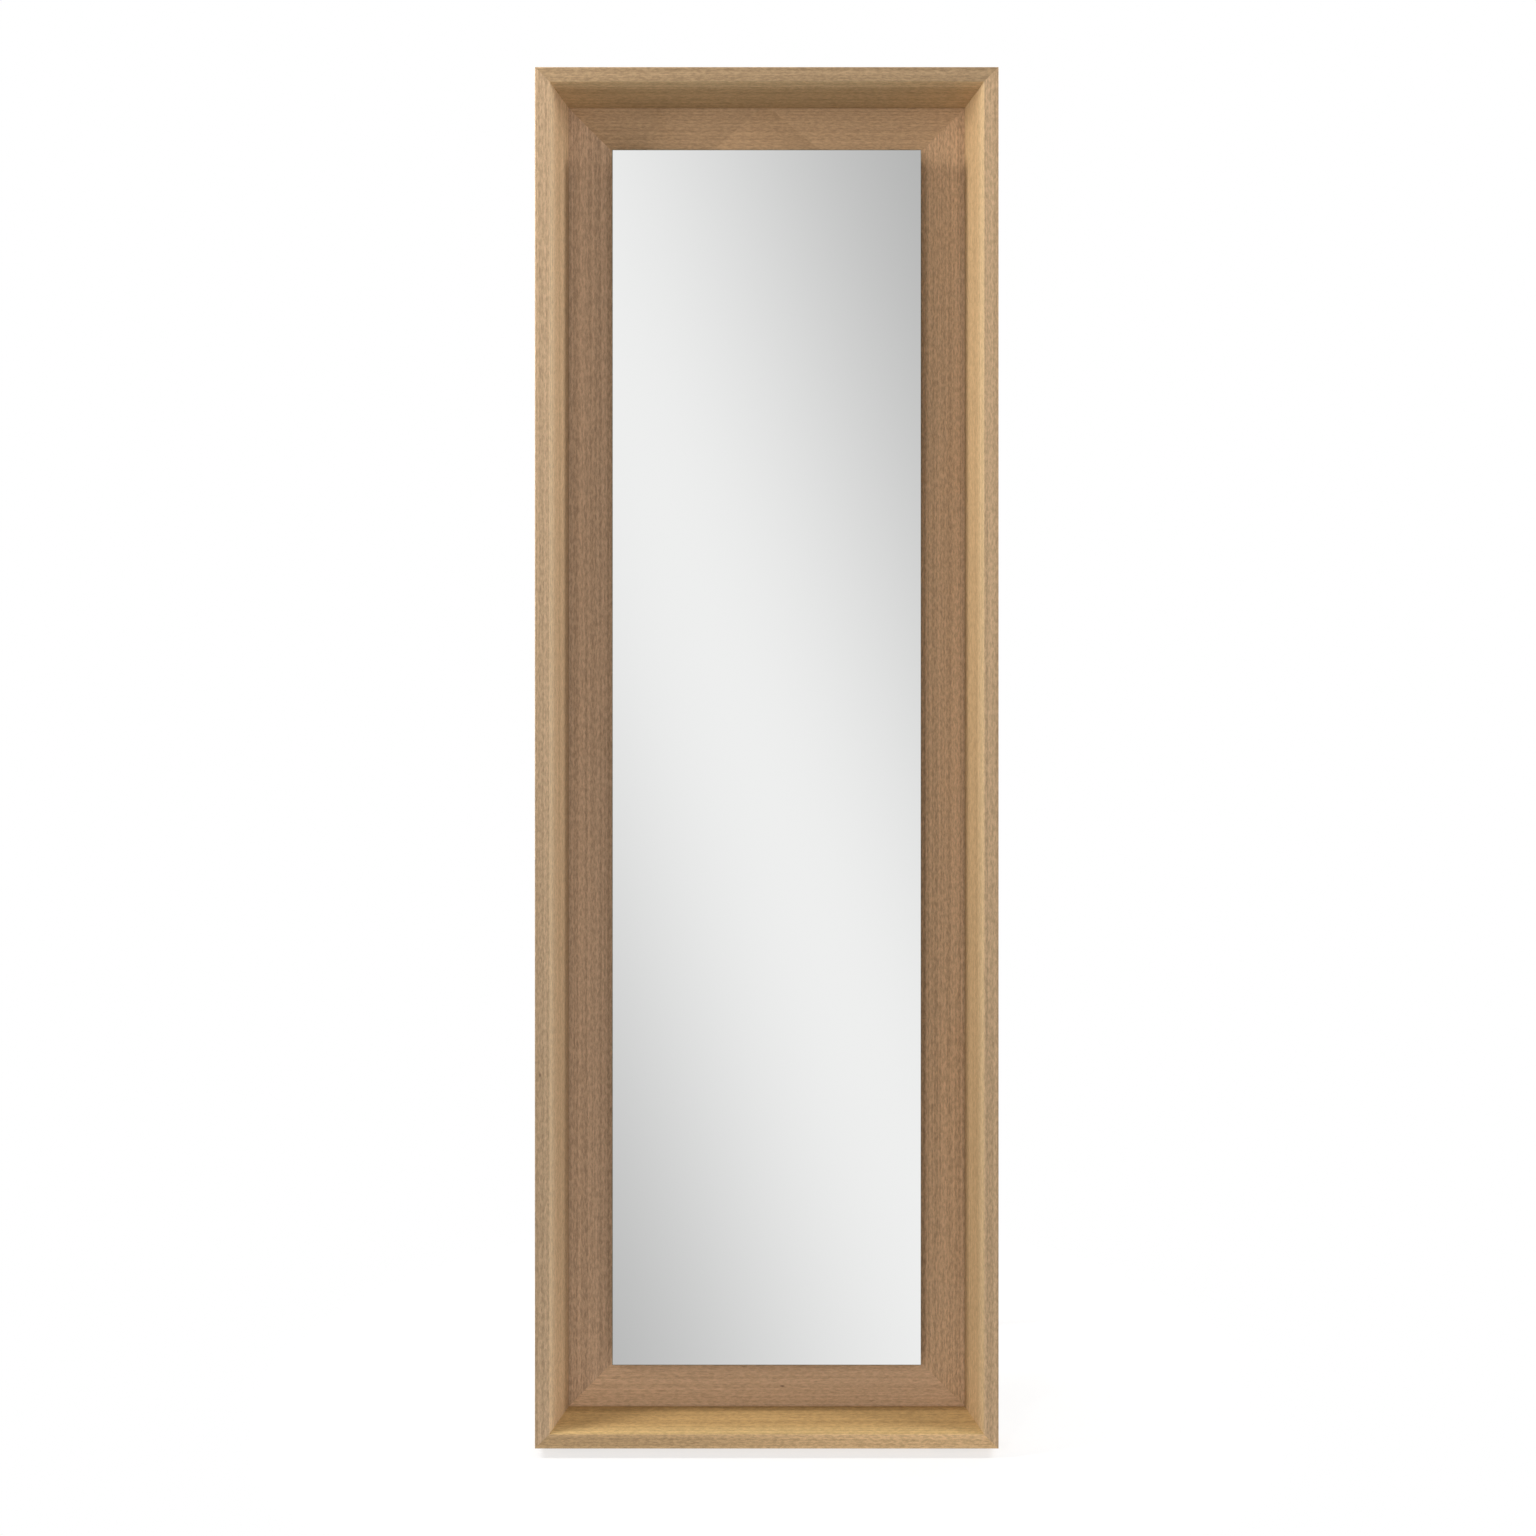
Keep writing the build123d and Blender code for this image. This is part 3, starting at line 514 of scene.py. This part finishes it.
def floor_disc(radius, fade, rings=6, spokes=96):
    """A white floor, whose rim fades out so that the mirror shows only plain studio light, and
    which lights the pieces above it less than it shows."""
    vertices = [Vector((0, 0, 0))]
    faces = []
    for ring in range(1, rings + 1):
        for spoke in range(spokes):
            turn = Matrix.Rotation(math.tau * spoke / spokes, 3, "Z")
            vertices.append(turn @ Vector((radius * ring / rings, 0, 0)))
            here = 1 + (ring - 1) * spokes + spoke
            beside = 1 + (ring - 1) * spokes + (spoke + 1) % spokes
            if ring == 1:
                faces.append((0, here, beside))
            else:
                faces.append((here - spokes, here, beside, beside - spokes))
    mesh = bpy.data.meshes.new("floor")
    mesh.from_pydata(vertices, [], faces)
    floor = bpy.data.objects.new("floor", mesh)
    bpy.context.scene.collection.objects.link(floor)
    floor.location.z = -FLOOR_GAP
    material, tree, shader = new_material("floor", roughness=0.9)
    grain = noise(tree, place(tree), scale=30, detail=4)
    shade = colour_mix(tree, grain, *FLOOR_SHADE)
    tree.links.new(shade, shader.inputs["Base Color"])
    shader.inputs["Emission Color"].default_value = (1, 1, 1, 1)
    path = node(tree, "LightPath")
    in_sight = maths(tree, "MAXIMUM", path.outputs["Is Camera Ray"], path.outputs["Is Glossy Ray"])
    glow = between(tree, in_sight, FLOOR_LIGHT, FLOOR_SHOWN)
    tree.links.new(glow, shader.inputs["Emission Strength"])
    solid = smooth_step(tree, length(tree, place(tree)), fade, radius, 1.0, 0.0)
    tree.links.new(solid, shader.inputs["Alpha"])
    mesh.materials.append(material)


floor_disc(radius=0.75, fade=0.40)


# ---- Light ----
# Brightness of the room away from the soft card, from above and from below: the light that falls
# on the pieces, and what the mirror and the steel show. Then the same behind the mirror.
ROOM_LIGHT = (0.22, 0.11)
ROOM_SHOWN = (0.30, 0.80)
REAR_LIGHT = (0.85, 0.85)
REAR_SHOWN = (1.0, 0.35)
# Where above turns to below, by the height of a direction; and where the card turns to the room,
# and the room to the wall behind, by how far the direction goes out of the mirror's front.
HORIZON = (0.25, -0.45)
CARD_EDGE = (0.86, 0.72)
REAR_EDGE = (-0.1, -0.4)
# The card's pale band: how far it leans over, its place and its half width, and the brightness at
# its middle, beside it, and out at the card's rim.
BAND_LEAN = math.radians(21)
BAND_OFFSET = 0.011
BAND_REACH = 0.19
BAND_LIGHT = 0.92
BESIDE_LIGHT = 0.45
RIM_LIGHT = 0.92
RIM_REACH = (0.25, 0.42)
LEAST_AHEAD = 0.05  # keeps the card's places finite out at the sides


def card_light(tree, across, up, out):
    """A pale diagonal band, which the mirror shows from the front."""
    ahead = maths(tree, "MAXIMUM", out, LEAST_AHEAD)
    place_across = maths(tree, "DIVIDE", across, ahead)
    place_up = maths(tree, "DIVIDE", up, ahead)
    place_on = maths(tree, "MULTIPLY_ADD", place_across, math.cos(BAND_LEAN), BAND_OFFSET)
    place_on = maths(tree, "MULTIPLY_ADD", place_up, math.sin(BAND_LEAN), place_on)
    away = maths(tree, "ABSOLUTE", place_on)
    band = smooth_step(tree, away, BAND_REACH, 0.0, BESIDE_LIGHT, BAND_LIGHT)
    return maths(tree, "MAXIMUM", band, smooth_step(tree, away, *RIM_REACH, 0.0, RIM_LIGHT))


def studio_world():
    """White room to the camera. The other rays see a soft card in front of the mirror, plain
    light round it, and a brighter wall behind. The light that falls is the same for every ray
    that isn't glossy."""
    world = bpy.data.worlds.new("studio")
    bpy.context.scene.world = world
    world.use_nodes = True
    tree = world.node_tree
    way = node(tree, "TexCoord").outputs["Generated"]
    across, up, out = [dot(tree, way, axis) for axis in (ACROSS, MIRROR_UP, MIRROR_OUT)]
    card = card_light(tree, across, up, out)
    height = node(tree, "SeparateXYZ", {0: way}).outputs["Z"]
    path = node(tree, "LightPath")
    sides = []
    for falling, shown in ((ROOM_LIGHT, ROOM_SHOWN), (REAR_LIGHT, REAR_SHOWN)):
        falling = smooth_step(tree, height, *HORIZON, *falling)
        shown = smooth_step(tree, height, *HORIZON, *shown)
        sides.append(between(tree, path.outputs["Is Glossy Ray"], falling, shown))
    room, rear = sides
    light = between(tree, smooth_step(tree, out, *CARD_EDGE), card, room)
    light = between(tree, smooth_step(tree, out, *REAR_EDGE), light, rear)
    strength = between(tree, path.outputs["Is Camera Ray"], light, 1.0)
    background = tree.nodes["Background"]
    background.inputs["Color"].default_value = (1, 1, 1, 1)
    tree.links.new(strength, background.inputs["Strength"])


studio_world()

# Soft boxes: place from the middle of the mirror's frame, width and height, and power in watts.
SOFT_BOXES = {
    "front_left": ((-0.9, 0.3, 3.1), (0.4, 1.2), 15.0),
    "side_left": ((-1.7, 1.1, 0.42), (0.35, 1.0), 36.0),
    "side_right": ((1.8, 1.1, 0.29), (0.28, 1.0), 20.0),
    "above": ((0.0, 2.6, 0.6), (1.6, 0.4), 2.0),
    "behind": ((1.6, 1.4, -2.4), (1.6, 1.6), 25.0),
}
for name, (spot, size, power) in SOFT_BOXES.items():
    lamp = bpy.data.lights.new(name, "AREA")
    lamp.shape = "RECTANGLE"
    lamp.size, lamp.size_y = size
    lamp.energy = power
    box = bpy.data.objects.new(name, lamp)
    bpy.context.scene.collection.objects.link(box)
    box.location = mirror_place(*spot)
    inward = mirror_place(0, 0, 0) - box.location
    box.rotation_euler = inward.to_track_quat("-Z", "Y").to_euler()
    box.visible_camera = False
    box.visible_glossy = False

# ---- Camera: square to the mirror, its eye a little above the middle ----
# The eye's place in metres from the middle of the frame's front, and the lens in millimetres.
EYE_DISTANCE = 3.2
EYE_RISE = 0.0475
EYE_ACROSS = 0.0017
LENS = 56.67
SENSOR_WIDTH = 36
FRAME_SHIFT = -0.03  # brings the mirror to its height in the photo's frame
camera_data = bpy.data.cameras.new("camera")
camera_data.lens = LENS
camera_data.sensor_width = SENSOR_WIDTH
camera_data.shift_y = FRAME_SHIFT
camera = bpy.data.objects.new("camera", camera_data)
bpy.context.scene.collection.objects.link(camera)
camera.location = mirror_place(EYE_ACROSS, EYE_RISE, EYE_DISTANCE)
camera.rotation_mode = "QUATERNION"
camera.rotation_quaternion = Matrix((ACROSS, MIRROR_UP, MIRROR_OUT)).transposed().to_quaternion()
bpy.context.scene.camera = camera
bpy.context.scene.view_settings.view_transform = "Standard"
